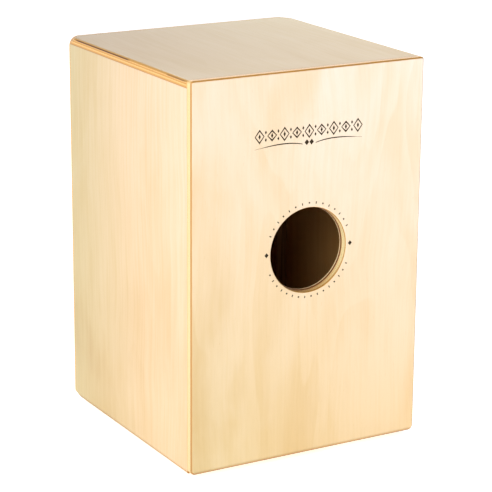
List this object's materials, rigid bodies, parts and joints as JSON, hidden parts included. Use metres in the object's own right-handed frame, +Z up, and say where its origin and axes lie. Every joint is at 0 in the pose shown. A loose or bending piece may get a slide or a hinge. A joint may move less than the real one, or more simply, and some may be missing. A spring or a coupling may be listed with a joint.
{
  "type": "cajon",
  "caption": "Compact plywood box drum with a rear sound hole, a screwed-on front playing plate, internal fan snares and rubber feet.",
  "frame": {"origin": "floor point under the middle of the box", "axes": "+Z up, the front plate that is played faces -Y and the back panel with the sound hole faces +Y"},
  "size_m": [0.3, 0.304, 0.458],
  "materials": {
    "birch_plywood": "clear satin lacquer on pale birch veneer",
    "seat_plywood": "clear satin lacquer on greyish birch veneer",
    "batten_wood": "raw planed softwood",
    "rubber": "matt black",
    "black_steel": "black phosphate",
    "bright_steel": "bright zinc plate",
    "dark_print": "flat dark brown ink"
  },
  "bodies": {
    "drum_body": {"back_panel": "birch_plywood", "bottom_panel": "birch_plywood", "foot_front_left": "rubber", "foot_front_right": "rubber", "foot_rear_left": "rubber", "foot_rear_right": "rubber", "foot_screw_front_left": "bright_steel", "foot_screw_front_right": "bright_steel", "foot_screw_rear_left": "bright_steel", "foot_screw_rear_right": "bright_steel", "front_batten_bottom": "batten_wood", "front_batten_left": "batten_wood", "front_batten_right": "batten_wood", "front_batten_top": "batten_wood", "front_plate": "birch_plywood", "front_screw_bottom_1": "black_steel", "front_screw_bottom_2": "black_steel", "front_screw_bottom_3": "black_steel", "front_screw_left_2": "black_steel", "front_screw_left_3": "black_steel", "front_screw_left_4": "black_steel", "front_screw_left_5": "black_steel", "front_screw_left_6": "black_steel", "front_screw_right_2": "black_steel", "front_screw_right_3": "black_steel", "front_screw_right_4": "black_steel", "front_screw_right_5": "black_steel", "front_screw_right_6": "black_steel", "front_screw_top_1": "black_steel", "front_screw_top_2": "black_steel", "front_screw_top_3": "black_steel", "left_side_panel": "birch_plywood", "right_side_panel": "birch_plywood", "snare_block_left": "batten_wood", "snare_block_right": "batten_wood", "snare_left": "bright_steel", "snare_right": "bright_steel", "snare_screw_left_inner": "bright_steel", "snare_screw_left_outer": "bright_steel", "snare_screw_right_inner": "bright_steel", "snare_screw_right_outer": "bright_steel", "sound_hole_ring": "birch_plywood", "top_panel": "seat_plywood"},
    "corner_screw_left": {"front_screw_left_1": "black_steel"},
    "corner_screw_right": {"front_screw_right_1": "black_steel"}
  },
  "joints": [
    {"name": "corner_screw_left_turn", "type": "hinge", "parent": "drum_body", "child": "corner_screw_left", "pos_m": [-0.1332, -0.152, 0.4412], "axis": [0, -1, 0], "range_deg": [0, 180]},
    {"name": "corner_screw_right_turn", "type": "hinge", "parent": "drum_body", "child": "corner_screw_right", "pos_m": [0.1332, -0.152, 0.4412], "axis": [0, -1, 0], "range_deg": [0, 180]}
  ]
}
